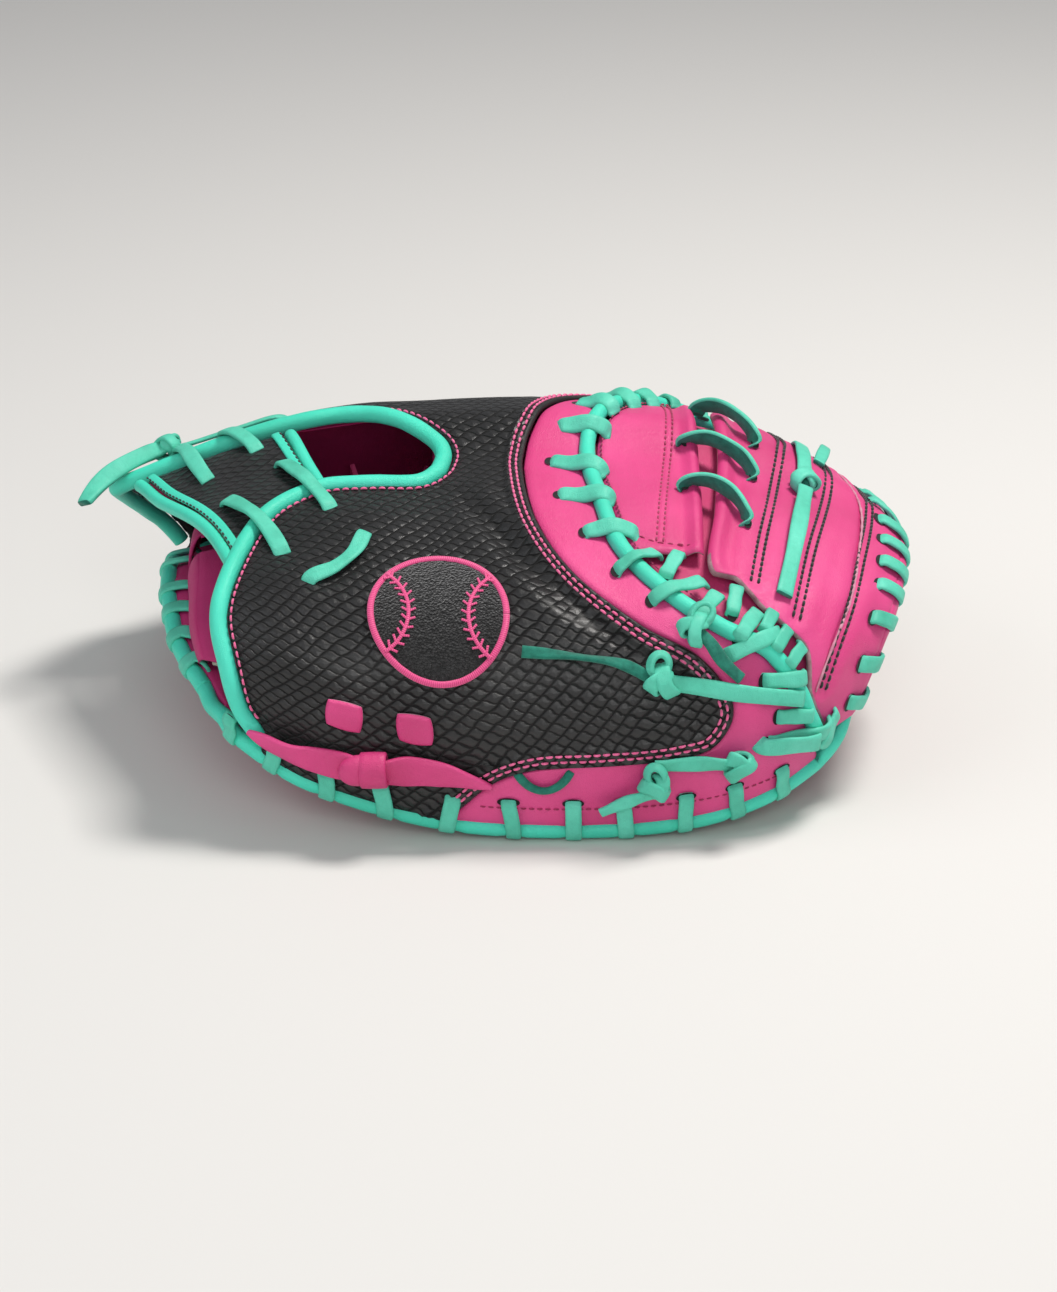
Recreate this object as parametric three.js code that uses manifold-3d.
// Baseball catcher's mitt for the left hand, lying palm down on its rim.
// Millimetres. +X runs from the wrist to the web, +Y from the thumb to the little finger, +Z is up.
// The mitt is a shell between two surfaces: the back of the hand (outside) and the palm (the pocket side).
// Both are addressed by v (along the mitt, close to x) and u (across it: -1 thumb rim, 0 middle, 1 finger rim).
import * as THREE from "three";
import { mergeVertices } from "three/addons/utils/BufferGeometryUtils.js";
import Module from "manifold-3d";

const wasm = await Module();
wasm.setup();

// ---- Driving dimensions ----
const SHELL = 3.0; // back leather thickness
const PALM = 3.4; // palm leather thickness
const LINER = 1.6; // lining thickness
const LINING_GAP = 1.4; // air between the back leather and its lining
const ROLL_R = 3.4; // piping roll radius on the rims and cuffs
const U_ROLL_R = 3.3; // thick roll round the web opening
const LACE_W = 6.5; // rawhide lace width (1/4 inch)
const LACE_T = 1.6; // rawhide lace thickness
const LIFT = 1.9; // lace centre above the leather it lies on
const RIM_PITCH = 21; // spacing of the rim laces
const WEB_PITCH = 13.5; // spacing of the web rim laces
const RIM_U = 0.972; // where the back leather stops above the rim roll
const MID = 0.07; // half width of the soft back bridge in u

// Back of the mitt, one row per station along v:
// [v, middle z, crown y, crown z, thumb half width, thumb rim z,
//  finger half width, finger rim z, thumb setback, finger setback]
const BACK = [
  [-168, 76, 30, 80, 72, 44, 66, 38, -48, -18],
  [-155, 84, 30, 88, 80, 44, 78, 38, -40, -15],
  [-130, 97, 30, 99, 93, 43, 93, 38, -24, -10],
  [-107, 106, 30, 108, 102, 38, 108, 33, -8, -5],
  [-73, 112, 30, 117, 111, 24, 121, 22, 0, 0],
  [-27, 113, 30, 121, 114, 10, 129, 9, 0, 0],
  [20, 114, 30, 122, 114.5, 6, 131, 6, 0, 0],
  [70, 111, 30, 118, 112, 8, 127, 8, 4, 4],
  [105, 104, 27, 109, 103, 13, 116, 14, 10, 10],
  [135, 92, 20, 94, 86, 19, 98, 24, 19, 19],
  [163, 74, 6, 75, 61, 25, 76, 38, 28, 28],
];
// Height of the palm surface on the middle line.
const PALM_MID = [
  [-168, 50],
  [-134, 55],
  [-107, 60],
  [-73, 64],
  [-27, 67],
  [20, 72],
  [70, 78],
  [105, 80],
  [135, 76],
  [163, 66],
];
const ACROSS = [-1, -0.83, -0.62, -0.34, 0, 0.22, 0.5, 0.8, 1];

// Lines on the back surface, as [u, v] rows in order of u.
const THUMB_CUFF = [
  [-0.945, -97], [-0.912, -104], [-0.789, -109], [-0.678, -111], [-0.481, -103],
  [-0.285, -90], [-0.2, -77], [-0.169, -69], [-0.155, -50], [-0.148, -34], [-0.09, -27],
];
const FINGER_CUFF = [
  [0.09, -31], [0.17, -43], [0.222, -54], [0.248, -65], [0.252, -76], [0.254, -88], [0.256, -107],
  [0.259, -133], [0.275, -150], [0.33, -159], [0.42, -161], [0.6, -161], [0.8, -157], [0.95, -150],
];
const FINGER_EDGE = [
  [0.05, -30], [0.15, -40], [0.2, -48], [0.245, -57], [0.272, -66], [0.285, -72], [0.291, -158],
  [0.42, -161], [0.6, -161], [0.8, -157], [1, -149],
];
const SEAM = [
  [-1, -26], [-0.968, -17], [-0.925, -6], [-0.898, 9], [-0.89, 36], [-0.883, 67], [-0.868, 82],
  [-0.826, 88], [-0.786, 87], [-0.704, 74], [-0.631, 50], [-0.498, 24], [-0.342, 11], [-0.096, 6],
  [0, 6.5], [0.095, 9], [0.3, 21], [0.42, 44], [0.52, 62], [0.64, 72], [0.75, 72], [0.84, 58],
  [0.885, 25], [0.93, -5], [1, -26],
];
const WEB_LINE = [
  [-1, 144], [-0.93, 135], [-0.853, 125], [-0.79, 118], [-0.69, 102], [-0.63, 81], [-0.545, 60],
  [-0.42, 43], [-0.2, 35], [0, 31.5], [0.12, 33.6], [0.3, 45], [0.42, 60], [0.52, 81], [0.6, 102],
  [0.7, 118], [0.78, 126], [0.9, 136], [1, 146],
];
const HEEL = [
  [-1, -140], [-0.83, -140], [-0.62, -138], [-0.34, -134], [0, -134], [0.5, -139], [0.8, -144], [1, -147],
];
const CROWN_EDGE = [
  [-0.985, 151], [-0.859, 128], [-0.79, 123], [-0.687, 119], [-0.635, 110], [-0.572, 98], [-0.5, 87],
  [-0.486, 78], [-0.27, 80], [0.06, 83], [0.4, 84], [0.48, 90], [0.57, 106], [0.66, 118], [0.75, 126],
  [0.86, 138], [0.95, 152],
];
const WEB_RIM_V = 157; // the top edge of the web
const BASE_RIGHT_V = 75.5; // the rolled edge of the web's base panel

// ---- Surfaces ----
// A smooth curve through the points (xs, ys), read at x.
function smooth(xs, ys, x) {
  let i = 0;
  while (i < xs.length - 2 && x > xs[i + 1]) i++;
  const a = Math.max(i - 1, 0);
  const b = Math.min(i + 2, xs.length - 1);
  const h = xs[i + 1] - xs[i];
  const m1 = (ys[i + 1] - ys[a]) / (xs[i + 1] - xs[a]);
  const m2 = (ys[b] - ys[i]) / (xs[b] - xs[i]);
  const s = (x - xs[i]) / h;
  const s2 = s * s;
  const s3 = s2 * s;
  return (2 * s3 - 3 * s2 + 1) * ys[i] + (s3 - 2 * s2 + s) * h * m1
    + (3 * s2 - 2 * s3) * ys[i + 1] + (s3 - s2) * h * m2;
}

// A straight-sided reading of rows [x, y] at x.
function straight(rows, x) {
  let i = 0;
  while (i < rows.length - 2 && x > rows[i + 1][0]) i++;
  const t = (x - rows[i][0]) / (rows[i + 1][0] - rows[i][0]);
  return rows[i][1] + Math.min(1, Math.max(0, t)) * (rows[i + 1][1] - rows[i][1]);
}

const mix = (a, b, t) => a + (b - a) * t;
const spread = (a, b, n) => Array.from({ length: n + 1 }, (_, i) => mix(a, b, i / n));
const stations = BACK.map((row) => row[0]);
const drive = (v) => BACK[0].slice(1).map((_, k) => smooth(stations, BACK.map((row) => row[k + 1]), v));

// A point on the back of the mitt.
function back(v, u) {
  const [zm, yc, zc, an, zn, af, zf, sn, sf] = drive(v);
  const hn = zm - zn;
  const hf = zc - zf;
  const ys = [-an, -an * 1.015, -an * 0.86, -an * 0.45, 0, yc, mix(yc, af, 0.5), af * 1.015, af];
  const zs = [zn, zn + 0.4 * hn, zn + 0.74 * hn, zn + 0.93 * hn, zm, zc, zf + 0.85 * hf, zf + 0.38 * hf, zf];
  const x = v - (u < 0 ? sn : sf) * u * u;
  return new THREE.Vector3(x, smooth(ACROSS, ys, u), smooth(ACROSS, zs, u));
}

// The plan distance from (v, u) to the web line, where the back and the palm come together.
const webPlan = WEB_LINE.map(([u, v]) => back(v, u));
function webDistance(p) {
  let best = 1e9;
  for (let i = 0; i + 1 < webPlan.length; i++) {
    const a = webPlan[i];
    const b = webPlan[i + 1];
    const ex = b.x - a.x;
    const ey = b.y - a.y;
    const t = Math.min(1, Math.max(0, ((p.x - a.x) * ex + (p.y - a.y) * ey) / (ex * ex + ey * ey)));
    best = Math.min(best, Math.hypot(p.x - a.x - t * ex, p.y - a.y - t * ey));
  }
  return best;
}

// A point on the palm surface: thick at the rims, dished in the middle, thin at the web line.
function palm(v, u) {
  const [, , , an, zn, af, zf, sn, sf] = drive(v);
  const zp = smooth(PALM_MID.map((row) => row[0]), PALM_MID.map((row) => row[1]), v);
  const ys = [-an + 10, -an * 0.68, -an * 0.46, -an * 0.22, 0, af * 0.2, af * 0.46, af * 0.72, af - 10];
  const zs = [zn - 2, mix(zn, zp, 0.18), mix(zn, zp, 0.6), mix(zn, zp, 0.92), zp,
    mix(zf, zp, 0.95), mix(zf, zp, 0.62), mix(zf, zp, 0.2), zf - 2];
  const q = new THREE.Vector3(v - (u < 0 ? sn : sf) * u * u, smooth(ACROSS, ys, u), smooth(ACROSS, zs, u));
  const p = back(v, u);
  const s = Math.min(1, webDistance(p) / 40);
  const rim = Math.min(1, Math.max(0, (Math.abs(u) - 0.74) / 0.14));
  return p.lerp(q, Math.max(mix(0.3, 1, s * s * (3 - 2 * s)), rim));
}

// Evenly spaced [v, u, off] along a smooth line through such rows.
const U_SCALE = 150; // surface length per unit of u, roughly
function trace(rows, count) {
  const knots = rows.map(([v, u, off = 0]) => new THREE.Vector3(v, u * U_SCALE, off));
  const curve = new THREE.CatmullRomCurve3(knots, false, "centripetal");
  return curve.getSpacedPoints(count).map((p) => [p.x, p.y / U_SCALE, p.z]);
}

// The outward normal of a surface: up and away for the back.
function normalOf(surface, v, u) {
  const a = surface(v + 0.5, u).sub(surface(v - 0.5, u));
  const b = surface(v, u + 0.004).sub(surface(v, u - 0.004));
  return a.cross(b).normalize();
}

// A point off the back surface, outwards.
const onBack = (v, u, off = 0) => back(v, u).addScaledVector(normalOf(back, v, u), off);
// A point off the palm surface, into the mitt (towards the back).
const onPalm = (v, u, off = 0) => palm(v, u).addScaledVector(normalOf(palm, v, u), off);

// A point inside the mitt: f = 0 under the back lining, 1 on the palm leather's inner face.
function inside(v, u, f) {
  const top = back(v, u);
  const low = palm(v, u);
  const m = top.clone().sub(low).normalize();
  const cb = Math.max(0.35, m.dot(normalOf(back, v, u)));
  const cp = Math.max(0.35, m.dot(normalOf(palm, v, u)));
  top.addScaledVector(m, -(SHELL + LINING_GAP + LINER + 1) / cb);
  low.addScaledVector(m, (PALM + 1.3) / cp);
  return top.lerp(low, f);
}

// ---- Solids ----
function geometry(points, faces) {
  const g = new THREE.BufferGeometry();
  g.setAttribute("position", new THREE.Float32BufferAttribute(points.flatMap((p) => [p.x, p.y, p.z]), 3));
  g.setIndex(faces);
  g.computeVertexNormals();
  return g;
}

// A closed solid between two grids of points: top(i, j) faces out, under(i, j) faces in.
function slab(rows, cols, top, under) {
  const points = [];
  const faces = [];
  for (const layer of [top, under])
    for (let i = 0; i <= rows; i++) for (let j = 0; j <= cols; j++) points.push(layer(i, j));
  const count = (rows + 1) * (cols + 1);
  const at = (i, j) => i * (cols + 1) + j;
  for (let i = 0; i < rows; i++)
    for (let j = 0; j < cols; j++) {
      const [a, b, c, d] = [at(i, j), at(i, j + 1), at(i + 1, j), at(i + 1, j + 1)];
      faces.push(a, b, c, b, d, c);
      faces.push(a + count, c + count, b + count, b + count, c + count, d + count);
    }
  const wall = (a, b) => faces.push(a, a + count, b + count, a, b + count, b);
  for (let j = 0; j < cols; j++) {
    wall(at(0, j), at(0, j + 1));
    wall(at(rows, j + 1), at(rows, j));
  }
  for (let i = 0; i < rows; i++) {
    wall(at(i + 1, 0), at(i, 0));
    wall(at(i, cols), at(i + 1, cols));
  }
  return geometry(points, faces);
}

// A piece of a layer: for each u in rows, v runs from left(u) to right(u).
// low and high give the two faces as functions of (v, u).
function layer(rows, cols, left, right, high, low) {
  const spans = rows.map((u) => [u, left(u), right(u)]);
  const at = (face) => (i, j) => {
    const [u, a, b] = spans[i];
    return face(mix(a, b, j / cols), u);
  };
  return slab(rows.length - 1, cols, at(high), at(low));
}

// A bar of constant section along a path, held square to the given normals.
function sweep(path, normals, section) {
  const points = [];
  const faces = [];
  const n = section.length;
  path.forEach((p, k) => {
    const t = path[Math.min(k + 1, path.length - 1)].clone().sub(path[Math.max(k - 1, 0)]).normalize();
    const side = t.clone().cross(normals[k]).normalize();
    const up = side.clone().cross(t);
    for (const [a, b] of section) points.push(p.clone().addScaledVector(side, a).addScaledVector(up, b));
  });
  for (let k = 0; k + 1 < path.length; k++)
    for (let i = 0; i < n; i++) {
      const j = (i + 1) % n;
      faces.push(k * n + i, (k + 1) * n + i, k * n + j, k * n + j, (k + 1) * n + i, (k + 1) * n + j);
    }
  const end = (path.length - 1) * n;
  for (let i = 1; i + 1 < n; i++) faces.push(0, i, i + 1, end, end + i + 1, end + i);
  return geometry(points, faces);
}

const flat = (w, t) => [[-w / 2, -t / 2], [w / 2, -t / 2], [w / 2, t / 2], [-w / 2, t / 2]];
const ring = (r, n = 6) =>
  Array.from({ length: n }, (_, i) => [r * Math.cos((2 * Math.PI * i) / n), r * Math.sin((2 * Math.PI * i) / n)]);

// Points evenly spaced along a smooth curve through the given points.
const along = (points, count) => new THREE.CatmullRomCurve3(points, false, "centripetal").getSpacedPoints(count);

// A path on the back surface through rows [v, u, off], with its normals.
function backPath(rows, count) {
  const line = trace(rows, count);
  return [line.map(([v, u, off]) => onBack(v, u, off)), line.map(([v, u]) => normalOf(back, v, u))];
}

// A flat lace lying on the back along rows [v, u, off].
const laceOn = (rows, count = 6, w = LACE_W, t = LACE_T) => sweep(...backPath(rows, count), flat(w, t));
// A round roll lying along rows [v, u, off].
const rollOn = (rows, count) => sweep(...backPath(rows, count), ring(ROLL_R, 6));

function solidOf(g) {
  const bare = new THREE.BufferGeometry();
  bare.setAttribute("position", g.getAttribute("position"));
  bare.setIndex(g.getIndex());
  const merged = mergeVertices(bare, 1e-4);
  return new wasm.Manifold(new wasm.Mesh({
    numProp: 3,
    vertProperties: new Float32Array(merged.attributes.position.array),
    triVerts: new Uint32Array(merged.index.array),
  }));
}

// Several overlapping pieces joined into one solid.
function join(pieces) {
  const whole = pieces.map(solidOf).reduce((a, b) => a.add(b));
  const mesh = whole.getMesh();
  const g = new THREE.BufferGeometry();
  g.setAttribute("position", new THREE.BufferAttribute(new Float32Array(mesh.vertProperties), 3));
  g.setIndex(Array.from(mesh.triVerts));
  g.computeVertexNormals();
  return g;
}

// ---- Materials ----
const leather = (color, roughness = 0.6) => new THREE.MeshStandardMaterial({ color, roughness, metalness: 0 });
const BLACK = leather(0x17181a, 0.42);
const PINK = leather(0xe84b8c, 0.5);
const MINT = leather(0x45d8b4, 0.62);
const LINING = leather(0x9c1a57, 0.85);
const FELT = leather(0xd9d2c4, 0.95);
const PATCH = leather(0x101012, 0.95);

const mitt = new THREE.Group();
function add(name, g, material) {
  const mesh = new THREE.Mesh(g, material);
  mesh.name = name;
  mitt.add(mesh);
}

// ---- Keeping pieces clear of the rolls and seams ----
const flip = (rows) => rows.map(([a, b]) => [b, a]);
const dense = (rows) => flip(trace(flip(rows), 120));
const curvePoints = (rows) => rows.map(([u, v]) => onBack(v, u, 0));
function distanceTo(points, p) {
  const line = new THREE.Line3();
  const near = new THREE.Vector3();
  let best = 1e9;
  for (let i = 0; i + 1 < points.length; i++) {
    line.set(points[i], points[i + 1]).closestPointToPoint(p, true, near);
    best = Math.min(best, near.distanceTo(p));
  }
  return best;
}
// Moves v by steps until the surface point is at least r away from the line.
function clearOf(points, u, v, step, r, surface = back) {
  let w = v;
  for (let k = 0; k < 160 && distanceTo(points, surface(w, u)) < r; k++) w += step;
  return w;
}

const seamRows = dense(SEAM);
const seamLine = curvePoints(seamRows);
const webLine = curvePoints(dense(WEB_LINE));
const thumbCuffLine = curvePoints(dense(THUMB_CUFF));
const fingerCuffLine = curvePoints(dense(FINGER_CUFF));
const heelLine = spread(-1, 1, 40).map((u) => onPalm(straight(HEEL, u), u, 0));
const ROLL_CLEAR = ROLL_R + 1.1;

const skin = (v, u) => onBack(v, u, 0);
const skinUnder = (v, u) => onBack(v, u, -SHELL);


// ---- Back leather ----
function backLeather() {
  const thumbRows = [-RIM_U, -0.95, -0.915, -0.897, -0.89, -0.883, -0.865, -0.82, -0.76, -0.7, -0.62,
    -0.52, -0.42, -0.33, -0.25, -0.21, -0.193, -0.177, -0.16, -0.13, -MID];
  const thumbLeft = (u) => clearOf(thumbCuffLine, u, straight(THUMB_CUFF, u), 0.6, ROLL_CLEAR + 0.5);
  const seamLeft = (u) => clearOf(seamLine, u, straight(seamRows, u), -0.2, 0.4);
  const seamRight = (u) => clearOf(seamLine, u, straight(seamRows, u), 0.2, 0.4);
  const webLeft = (u) => clearOf(webLine, u, straight(WEB_LINE, u), -0.6, U_ROLL_R + 0.5);
  add("thumb_back_shell", layer(thumbRows, 8, thumbLeft, seamLeft, skin, skinUnder), BLACK);
  add("thumb_tip_panel", layer(thumbRows, 5, seamRight, webLeft, skin, skinUnder), PINK);
  const fingerRows = [MID, 0.12, 0.17, 0.21, 0.245, 0.272, 0.285, 0.291, 0.34, 0.42, 0.5, 0.58, 0.66, 0.75,
    0.82, 0.86, 0.885, 0.91, 0.95, RIM_U];
  const fingerLeft = (u) => clearOf(fingerCuffLine, u, straight(FINGER_EDGE, u), 0.6, ROLL_CLEAR);
  add("finger_back_shell", layer(fingerRows, 9, fingerLeft, seamLeft, skin, skinUnder), BLACK);
  add("finger_tip_panel", layer(fingerRows, 5, seamRight, webLeft, skin, skinUnder), PINK);
  const bridgeRows = spread(-MID + 0.004, MID - 0.004, 4);
  const tip = (u) => mix(-19.5, -21.5, Math.abs(u) / MID);
  add("back_bridge", layer(bridgeRows, 3, tip, seamLeft, skin, skinUnder), BLACK);
  add("crotch_panel", layer(bridgeRows, 3, seamRight, webLeft, skin, skinUnder), PINK);
}

// ---- Linings under the back leather ----
function backLinings() {
  const high = (v, u) => onBack(v, u, -SHELL - LINING_GAP);
  const low = (v, u) => onBack(v, u, -SHELL - LINING_GAP - LINER);
  const thumbLeft = (u) => clearOf(thumbCuffLine, u, straight(THUMB_CUFF, u), 0.8, ROLL_CLEAR + 4);
  const fingerLeft = (u) => clearOf(fingerCuffLine, u, straight(FINGER_EDGE, u), 0.8, ROLL_CLEAR + 4);
  const right = (u) => clearOf(webLine, u, straight(WEB_LINE, u), -1, 30);
  add("thumb_back_lining", layer(spread(-0.86, -0.19, 8), 5, thumbLeft, right, high, low), LINING);
  add("finger_back_lining", layer(spread(0.11, 0.86, 9), 5, fingerLeft, right, high, low), LINING);
}

// ---- Palm ----
function palmLeather() {
  const low = (v, u) => onPalm(v, u, 0);
  const high = (v, u) => onPalm(v, u, PALM);
  const left = (u) => clearOf(heelLine, u, straight(HEEL, u) + 3, 0.5, ROLL_R + 1, palm);
  const right = (u) => clearOf(webLine, u, straight(WEB_LINE, u), -0.6, U_ROLL_R + 7);
  const thumbRows = [-0.95, -0.915, -0.86, -0.8, -0.7, -0.58, -0.45, -0.33, -0.2, -0.1];
  const fingerRows = [0.08, 0.18, 0.3, 0.42, 0.54, 0.65, 0.75, 0.84, 0.9, 0.95];
  add("thumb_palm_leather", layer(thumbRows, 12, left, right, high, low), PINK);
  add("finger_palm_leather", layer(fingerRows, 12, left, right, high, low), PINK);
  add("palm_crease_strip", layer([-0.092, 0, 0.072], 10, left, right, high, low), PINK);
}

// The hand lies between the back lining and the palm lining; pads fill the rest.
function palmInside() {
  const cut = (f) => (v, u) => inside(v, u, f);
  const heel = (inset) => (u) => straight(HEEL, u) + inset;
  const web = (inset) => (u) => clearOf(webLine, u, straight(WEB_LINE, u), -1, inset);
  const thumbRows = spread(-0.76, -0.1, 7);
  const fingerRows = spread(0.08, 0.78, 8);
  add("thumb_palm_lining", layer(thumbRows, 8, heel(13), web(34), cut(0.56), cut(0.62)), LINING);
  add("finger_palm_lining", layer(fingerRows, 8, heel(13), web(34), cut(0.56), cut(0.62)), LINING);
  const step = () => -80;
  add("thumb_heel_pad", layer(thumbRows, 3, heel(18), step, cut(0.66), cut(0.92)), FELT);
  add("finger_heel_pad", layer(fingerRows, 3, heel(18), step, cut(0.66), cut(0.92)), FELT);
  add("thumb_palm_pad", layer(thumbRows, 7, () => -78, web(36), cut(0.66), cut(0.92)), FELT);
  add("finger_palm_pad", layer(fingerRows, 7, () => -78, web(36), cut(0.66), cut(0.92)), FELT);
  const rim = (v0, v1, u0, u1) =>
    layer(spread(u0, u1, 3), 12, () => v0, () => v1, cut(0.08), cut(0.92));
  add("thumb_rim_pad", rim(-80, 96, -0.915, -0.79), FELT);
  add("finger_rim_pad", rim(-120, 100, 0.81, 0.92), FELT);
  // Dividers between the finger stalls.
  [0.3, 0.47, 0.63].forEach((u, k) => {
    add("finger_divider_" + (k + 1),
      layer([u - 0.007, u + 0.007], 5, () => -30, web(38), cut(0.04), cut(0.52)), LINING);
  });
}

// Leather loops inside that hold the thumb and the little finger.
function stallLoops() {
  const loop = (v0, v1, u) => {
    const path = along([inside(v0, u, 0.05), inside(mix(v0, v1, 0.15), u, 0.34),
      inside(mix(v0, v1, 0.5), u, 0.47), inside(mix(v0, v1, 0.85), u, 0.34), inside(v1, u, 0.05)], 10);
    const across = inside(0, u + 0.02, 0.3).sub(inside(0, u, 0.3)).normalize();
    const normals = path.map((p, k) => {
      const t = path[Math.min(k + 1, 10)].clone().sub(path[Math.max(k - 1, 0)]);
      return t.cross(across).normalize();
    });
    return sweep(path, normals, flat(12, 2));
  };
  add("thumb_loop", loop(-62, -30, -0.7), PINK);
  add("little_finger_loop", loop(-66, -34, 0.71), PINK);
}

// ---- Rolls on the cuff and window edges ----
function cuffRolls() {
  const rows = (line) => line.map(([u, v]) => [v, u, -0.6]);
  add("thumb_cuff_roll", rollOn(rows(THUMB_CUFF), 34), MINT);
  add("finger_cuff_roll", rollOn(rows(FINGER_CUFF), 40), MINT);
  add("window_tip_roll", rollOn([[-25.9, -0.056, -0.6], [-24.6, 0, -0.6], [-26.6, 0.054, -0.6]], 4), MINT);
}

// ---- Rim rolls with their whip laces ----
// side is -1 for the thumb rim and 1 for the finger rim.
function rimPoint(v, side) {
  const p = back(v, side);
  p.y -= side * 2.6;
  return p;
}
function rimWrap(v, side) {
  const c = rimPoint(v, side);
  const t = rimPoint(v + 1, side).sub(rimPoint(v - 1, side)).normalize();
  const down = new THREE.Vector3(0, 0, -1).addScaledVector(t, t.z).normalize();
  const out = t.clone().cross(down).multiplyScalar(side).normalize();
  const r = ROLL_R; // the lace bites into the roll
  const bend = (a, b) => c.clone().addScaledVector(out, a * r).addScaledVector(down, b * r);
  const path = [onBack(v, side * 0.935, LIFT), onBack(v, side * 0.968, LIFT), bend(0.95, 0.3), bend(0.3, 1),
    bend(-0.6, 0.85), onPalm(v, side * 0.955, -LIFT - 0.8), onPalm(v, side * 0.92, -LIFT - 0.8)];
  const normals = path.map((p, k) => {
    const run = path[Math.min(k + 1, 6)].clone().sub(path[Math.max(k - 1, 0)]);
    return run.cross(t).multiplyScalar(-side).normalize();
  });
  return sweep(path, normals, flat(LACE_W, LACE_T));
}
function rimLace(side, v0, v1) {
  const path = spread(v0, v1, 24).map((v) => rimPoint(v, side));
  const ups = path.map(() => new THREE.Vector3(0, 0, 1));
  const wraps = [];
  const n = Math.floor(new THREE.CatmullRomCurve3(path).getLength() / RIM_PITCH);
  for (let k = 0; k < n; k++) wraps.push(rimWrap(mix(v0 + 8, v1 - 8, (k + 0.4) / n), side));
  return join([sweep(path, ups, ring(ROLL_R)), ...wraps]);
}

// The heel edge of the palm leather, rolled and laced.
function heelPoint(u) {
  return onPalm(straight(HEEL, u), u, PALM / 2);
}
function heelWrap(u) {
  const v = straight(HEEL, u);
  const c = heelPoint(u);
  const n = normalOf(palm, v, u);
  const t = heelPoint(u + 0.02).sub(heelPoint(u - 0.02)).normalize();
  const away = n.clone().cross(t).normalize();
  if (away.x > 0) away.negate();
  const r = ROLL_R; // the lace bites into the roll
  const bend = (a, b) => c.clone().addScaledVector(away, a * r).addScaledVector(n, b * r);
  const path = [onPalm(v + 10, u, PALM + LIFT), bend(-0.9, 1.12), bend(0.5, 0.9), bend(1, 0), bend(0.5, -0.9),
    bend(-0.9, -1.12), onPalm(v + 10, u, -LIFT)];
  const normals = path.map((p, k) => {
    const run = path[Math.min(k + 1, 6)].clone().sub(path[Math.max(k - 1, 0)]);
    return run.cross(t).normalize();
  });
  return sweep(path, normals, flat(LACE_W, LACE_T));
}
function heelLace(u0, u1, count) {
  const path = spread(u0, u1, 14).map(heelPoint);
  const ups = path.map(() => new THREE.Vector3(0, 0, 1));
  const wraps = spread(u0, u1, count + 1).slice(1, -1).map(heelWrap);
  return join([sweep(path, ups, ring(ROLL_R)), ...wraps]);
}

function rims() {
  add("thumb_rim_lace", rimLace(-1, -128, 137), MINT);
  add("finger_rim_lace", rimLace(1, -138, 139), MINT);
  add("thumb_heel_lace", heelLace(-0.93, -0.1, 4), MINT);
  add("finger_heel_lace", heelLace(0.08, 0.93, 4), MINT);
}

// ---- Web ----
function webPanels() {
  const clear = (u) => clearOf(webLine, u, straight(WEB_LINE, u), 0.6, U_ROLL_R + 1.8);
  const sheet = (off, t) => [(v, u) => onBack(v, u, off), (v, u) => onBack(v, u, off - t)];
  const [baseHigh, baseLow] = sheet(-0.8, 2.8);
  add("web_base_panel",
    layer([-0.43, -0.38, -0.3, -0.2, -0.1, 0, 0.1, 0.2, 0.3, 0.38, 0.43], 5, clear, () => BASE_RIGHT_V,
      baseHigh, baseLow), PINK);
  const [crownHigh, crownLow] = sheet(-0.4, 2.8);
  const crownLeft = (u) => Math.max(straight(CROWN_EDGE, u), clear(u));
  const rows = [-0.93, -0.86, -0.79, -0.74, -0.687, -0.635, -0.572, -0.5, -0.47, -0.36, -0.24, -0.12, 0,
    0.12, 0.24, 0.36, 0.44, 0.5, 0.57, 0.66, 0.75, 0.82, 0.88];
  add("web_crown_panel", layer(rows, 6, crownLeft, () => WEB_RIM_V - 4, crownHigh, crownLow), PINK);
  const [frontHigh, frontLow] = sheet(-6.2, 2.4);
  add("web_front_panel",
    layer([-0.9, -0.8, -0.7, -0.6, -0.5, -0.38, -0.25, -0.12, 0, 0.12, 0.25, 0.38, 0.5, 0.6, 0.7, 0.8, 0.86],
      6, clear, () => WEB_RIM_V - 5, frontHigh, frontLow), PINK);
}

const webRimPoint = (u) => onBack(WEB_RIM_V, u, -4.6);
function webRimWrap(u) {
  const path = [onBack(WEB_RIM_V - 9, u, 1.8), onBack(WEB_RIM_V - 2.5, u, 1.5), onBack(WEB_RIM_V + 1.8, u, -1.8),
    onBack(WEB_RIM_V + 1.8, u, -7.4), onBack(WEB_RIM_V - 3, u, -11.2), onBack(WEB_RIM_V - 9, u, -11.4)];
  const t = webRimPoint(u + 0.01).sub(webRimPoint(u - 0.01)).normalize();
  const normals = path.map((p, k) => {
    const run = path[Math.min(k + 1, 5)].clone().sub(path[Math.max(k - 1, 0)]);
    return run.cross(t).normalize();
  });
  return sweep(path, normals, flat(LACE_W, LACE_T));
}
function webRimLace() {
  const fine = spread(-0.93, 0.88, 60);
  const path = fine.map(webRimPoint);
  const lengths = [0];
  for (let i = 1; i < path.length; i++) lengths.push(lengths[i - 1] + path[i].distanceTo(path[i - 1]));
  const total = lengths[lengths.length - 1];
  const n = Math.floor(total / WEB_PITCH);
  const wraps = [];
  for (let k = 0; k < n; k++) {
    const want = ((k + 0.5) / n) * total;
    let i = 1;
    while (lengths[i] < want) i++;
    const t = (want - lengths[i - 1]) / (lengths[i] - lengths[i - 1]);
    wraps.push(webRimWrap(mix(fine[i - 1], fine[i], t)));
  }
  const thin = path.filter((_, i) => i % 3 === 0);
  const ups = thin.map(() => new THREE.Vector3(1, 0, 0));
  add("web_rim_lace", join([sweep(thin, ups, ring(ROLL_R - 0.4)), ...wraps]), MINT);
}

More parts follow.
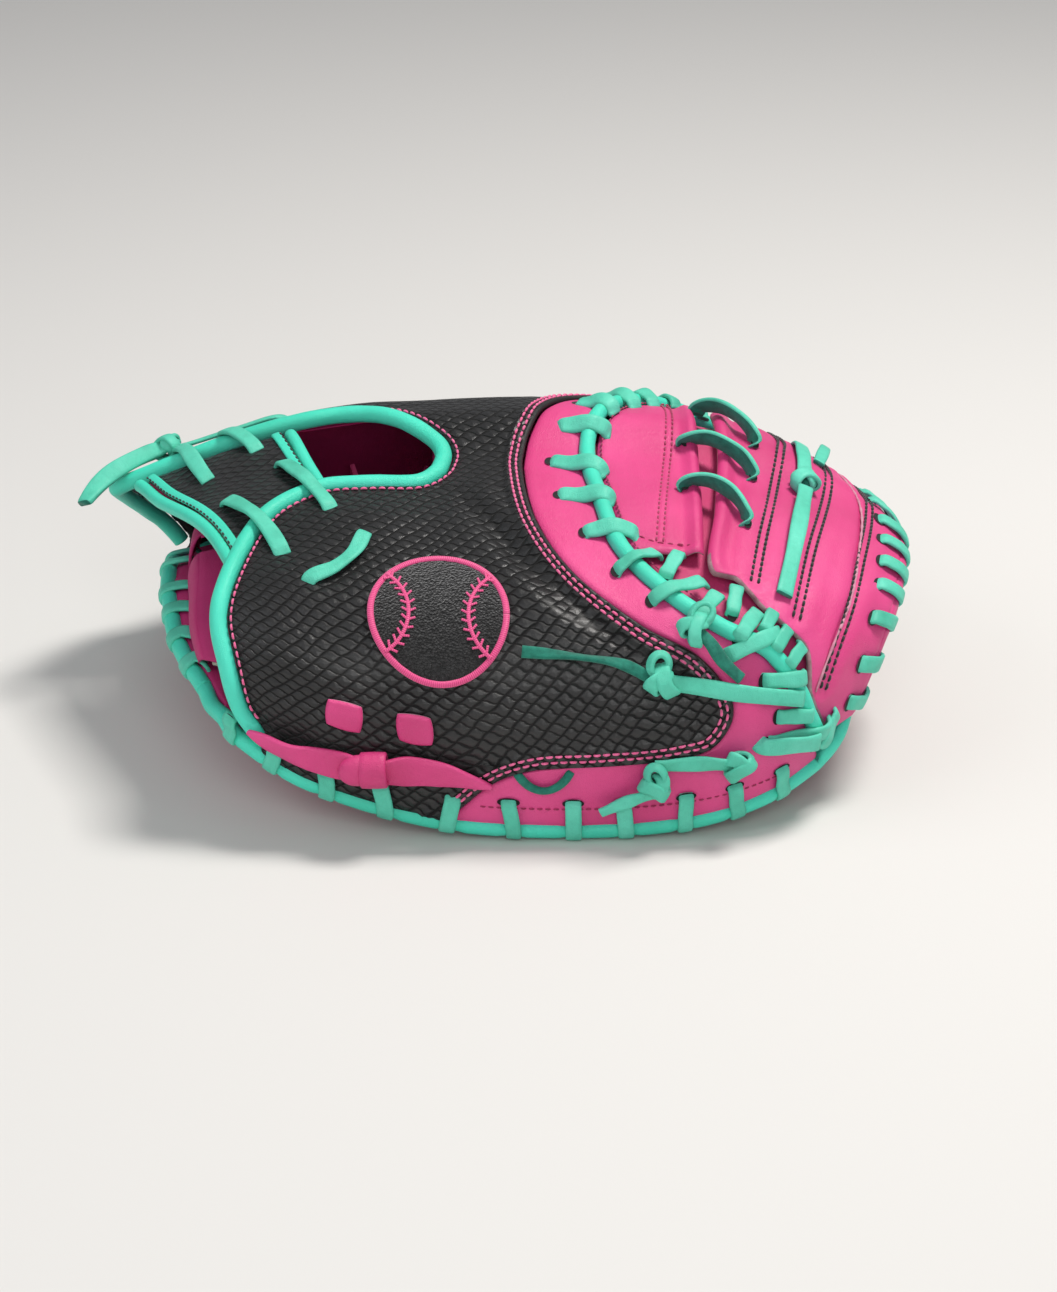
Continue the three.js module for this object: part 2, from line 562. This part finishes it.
// The thick roll round the web opening and the laces that whip it to both sides.
function webOpeningLace() {
  const rows = WEB_LINE.filter(([u]) => u > -0.94 && u < 0.91).map(([u, v]) => [v, u, 0]);
  const [path, ups] = backPath(rows, 50);
  const roll = sweep(path, ups, ring(U_ROLL_R));
  const wraps = [];
  for (let k = 2; k <= 48; k += 3) {
    const c = path[k];
    const n = ups[k];
    const t = path[k + 1].clone().sub(path[k - 1]).normalize();
    const side = t.clone().cross(n).normalize();
    const at = (a, b) => c.clone().addScaledVector(side, a).addScaledVector(n, b);
    const run = [at(-10, 1.8), at(-3, 3.5), at(3, 3.5), at(9, 1.6)];
    wraps.push(sweep(run, run.map(() => n), flat(5.5, LACE_T)));
  }
  add("web_opening_lace", join([roll, ...wraps]), MINT);
}

function webLaces() {
  const bridges = [
    [[72, 0.245, 1.2], [79, 0.25, 3.2], [89, 0.21, 3.2], [98, 0.165, 1.4]],
    [[67, 0.06, 1.2], [76, 0.07, 3.2], [87, 0.05, 3.2], [97, 0, 1.4]],
    [[66, -0.17, 1.2], [75, -0.16, 3.2], [85, -0.19, 3.2], [93, -0.27, 1.4]],
  ];
  bridges.forEach((rows, k) => add("web_bridge_lace_" + (k + 1), laceOn(rows, 6, 7), MINT));
  const knot = ball(onBack(115.2, -0.15, 3.9), 5.2, 8.5, 4.2);
  const strand = laceOn([[121, 0.3, 1.5], [118, 0.08, 2], [115.5, -0.12, 3.6]], 6);
  const tail = laceOn([[115, -0.18, 3.6], [111.5, -0.38, 2.2], [107, -0.55, 1.8]], 6);
  add("web_knot_lace", join([knot, strand, tail]), MINT);
}

// A knot: an ellipsoid with the given half sizes.
function ball(at, rx, ry, rz) {
  const g = new THREE.SphereGeometry(1, 8, 5);
  g.scale(rx, ry, rz);
  g.translate(at.x, at.y, at.z);
  g.deleteAttribute("normal");
  g.deleteAttribute("uv");
  return mergeVertices(g, 1e-4);
}

// ---- Wrist strap ----
// s runs from the thumb end (0) to the finger end (1), t from the wrist edge (0) to the window edge (1).
const STRAP_NEAR = [[0, -109, -0.4], [0.33, -98, -0.3], [0.66, -85, -0.2], [1, -74, -0.125]];
const STRAP_FAR = [[0, -147, 0.19], [0.33, -129, 0.175], [0.66, -107, 0.167], [1, -88, 0.17]];
function strapPoint(s, t, off) {
  const edge = (rows, k) => smooth(rows.map((row) => row[0]), rows.map((row) => row[k]), t);
  const v = mix(edge(STRAP_NEAR, 1), edge(STRAP_FAR, 1), s);
  const u = mix(edge(STRAP_NEAR, 2), edge(STRAP_FAR, 2), s);
  return onBack(v, u, off);
}
function wristStrap() {
  const sheet = (off, t0, t1) => (i, j) => strapPoint(i / 9, mix(t0, t1, 1 - j / 4), off);
  const flip = (off, t0, t1) => (i, j) => sheet(off, t0, t1)(i, 4 - j);
  add("wrist_strap", slab(9, 4, flip(-0.6, 0.07, 0.93), flip(-3.4, 0.07, 0.93)), BLACK);
  add("wrist_strap_lining", slab(9, 4, flip(-3.8, 0.1, 0.9), flip(-5.4, 0.1, 0.9)), LINING);
  const edge = (t) => {
    const path = spread(0.04, 0.97, 12).map((s) => strapPoint(s, t, -2));
    const ups = path.map(() => new THREE.Vector3(0, 0, 1));
    return sweep(path, ups, ring(2.6));
  };
  add("strap_wrist_edge_roll", edge(-0.02), MINT);
  add("strap_window_edge_roll", edge(1.03), MINT);
}

function strapLaces() {
  const over = 4.6;
  add("strap_lace_1", laceOn([[-107, -0.22, 1.6], [-99, -0.31, 2.6], [-94, -0.345, over], [-90, -0.39, 3],
    [-85.5, -0.45, 1.6]], 10, 7), MINT);
  add("strap_lace_2", laceOn([[-86, -0.03, 1.6], [-80, -0.12, 2.6], [-76.5, -0.185, over], [-73, -0.24, 3],
    [-68.5, -0.3, 1.6]], 10, 7), MINT);
  const wrapA = laceOn([[-121, 0.115, 1.4], [-125, 0.17, 3.4], [-127.5, 0.217, over], [-128.5, 0.262, 5.4],
    [-129.5, 0.33, 5.4]], 8, 7);
  const wrapB = laceOn([[-102, 0.115, 1.4], [-104.5, 0.165, 3.4], [-107, 0.212, over], [-109, 0.26, 4.2],
    [-111, 0.33, 3]], 8, 7);
  const run = laceOn([[-92, 0.345, 3], [-111, 0.35, 3.4], [-131, 0.36, 4.6], [-136, 0.37, 5]], 9);
  const tail = laceOn([[-137, 0.36, 5.4], [-146, 0.3, 6], [-156, 0.2, 6.5], [-165, 0.1, 5.5]], 8);
  const knot = ball(onBack(-136, 0.365, 5.4), 6.5, 5, 4.6);
  add("strap_far_lace", join([wrapA, wrapB, run, knot, tail]), MINT);
}

// ---- Trim on the back ----
// A disc laid on the back at (v, u): across is the length along the surface per unit of u.
function drapedDisc(v, u, radius, across, low, high) {
  const rings = 4;
  const steps = 20;
  const points = [];
  const faces = [];
  for (const off of [high, low]) {
    points.push(onBack(v, u, off));
    for (let k = 1; k <= rings; k++)
      for (let i = 0; i < steps; i++) {
        const a = (2 * Math.PI * i) / steps;
        const r = (radius * k) / rings;
        points.push(onBack(v + r * Math.cos(a), u + (r * Math.sin(a)) / across, off));
      }
  }
  const half = 1 + rings * steps;
  const at = (k, i) => 1 + (k - 1) * steps + (i % steps);
  for (let i = 0; i < steps; i++) {
    faces.push(0, at(1, i), at(1, i + 1), half, half + at(1, i + 1), half + at(1, i));
    for (let k = 1; k < rings; k++) {
      const [a, b, c, d] = [at(k, i), at(k + 1, i), at(k, i + 1), at(k + 1, i + 1)];
      faces.push(a, b, c, c, b, d, half + a, half + c, half + b, half + c, half + d, half + b);
    }
    const [a, b] = [at(rings, i), at(rings, i + 1)];
    faces.push(a, half + a, b, b, half + a, half + b);
  }
  return geometry(points, faces);
}

function square(v, u) {
  const face = (off) => (i, j) => onBack(v - 6.4 + 6.4 * j, u - 0.026 + 0.026 * i, off);
  return slab(2, 2, face(1.9), face(0.4));
}

function backTrim() {
  add("back_patch", drapedDisc(-24.5, -0.615, 26, 178, 0.5, 2.6), PATCH);
  add("thumb_loop_anchor_1", square(-58.7, -0.841), PINK);
  add("thumb_loop_anchor_2", square(-33.1, -0.842), PINK);
  add("back_lace_strip", laceOn([[-73, -0.543, 1.4], [-63, -0.517, 2.4], [-56, -0.463, 2.4], [-53, -0.393, 1.4]],
    8, 6), MINT);
  const knot = ball(onBack(-50, -0.92, 5.8), 9, 4.6, 6.5);
  const left = laceOn([[-52, -0.925, 4.5], [-66, -0.93, 4.4], [-80, -0.938, 4.2], [-90, -0.94, 4.2]], 6, 8, 2);
  const right = laceOn([[-49, -0.925, 4.9], [-34, -0.906, 3.4], [-20, -0.912, 2.2], [-10, -0.918, 2.2]], 6, 9, 2);
  add("thumb_loop_knot", join([knot, left, right]), PINK);
  add("rim_lace_arc", laceOn([[4, -0.908, 1.4], [9, -0.923, 1.6], [14, -0.929, 1.6], [19, -0.923, 1.6],
    [24, -0.908, 1.4]], 8, 3), MINT);
}

// ---- Knotted lace ends on the thumb side ----
function thumbKnots() {
  const knotA = ball(onBack(58.4, -0.742, 4.6), 6.5, 4.5, 6);
  const loop = laceOn([[57, -0.74, 3.4], [52, -0.71, 3.4], [50.5, -0.69, 2.4]], 4);
  const tailA = laceOn([[57, -0.745, 3.6], [44, -0.713, 2], [28, -0.7, 1.8], [6, -0.69, 1.6]], 10, 5);
  const strip = laceOn([[60, -0.745, 3.6], [72, -0.756, 2.4], [88, -0.772, 3.4], [102, -0.79, 4.6]], 9, 7);
  add("thumb_web_lace", join([knotA, loop, tailA, strip]), MINT);
  const knotB = ball(onBack(70, -0.648, 8.6), 7.5, 4, 5.5);
  const tailB = laceOn([[72, -0.66, 8], [80, -0.7, 5.6], [87, -0.733, 4]], 6, 5);
  add("crotch_knot", join([knotB, tailB]), MINT);
  const knotC = ball(onBack(58.2, -0.92, 5), 6.5, 4, 5.5);
  const tailC = laceOn([[56, -0.93, 4.6], [46, -0.94, 4.6], [37, -0.955, 4.6]], 5, 5);
  add("rim_knot_1", join([knotC, tailC]), MINT);
  const knotD = ball(onBack(91, -0.9, 5.2), 5.5, 4, 6.5);
  const tailD = laceOn([[90, -0.9, 4.4], [76, -0.892, 2.4], [57, -0.89, 2]], 6, 6);
  add("rim_knot_2", join([knotD, tailD]), MINT);
  add("rim_web_lace", laceOn([[102, -0.885, 2], [113, -0.89, 4.5], [125, -0.9, 6]], 5, 7), MINT);
}

backLeather();
backLinings();
palmLeather();
palmInside();
stallLoops();
cuffRolls();
rims();
webPanels();
webRimLace();
webOpeningLace();
webLaces();
wristStrap();
strapLaces();
backTrim();
thumbKnots();

// The origin is the middle of the footprint, on the ground.
const box = new THREE.Box3().setFromObject(mitt);
mitt.position.set(-(box.min.x + box.max.x) / 2, -(box.min.y + box.max.y) / 2, -box.min.z);

export default mitt;
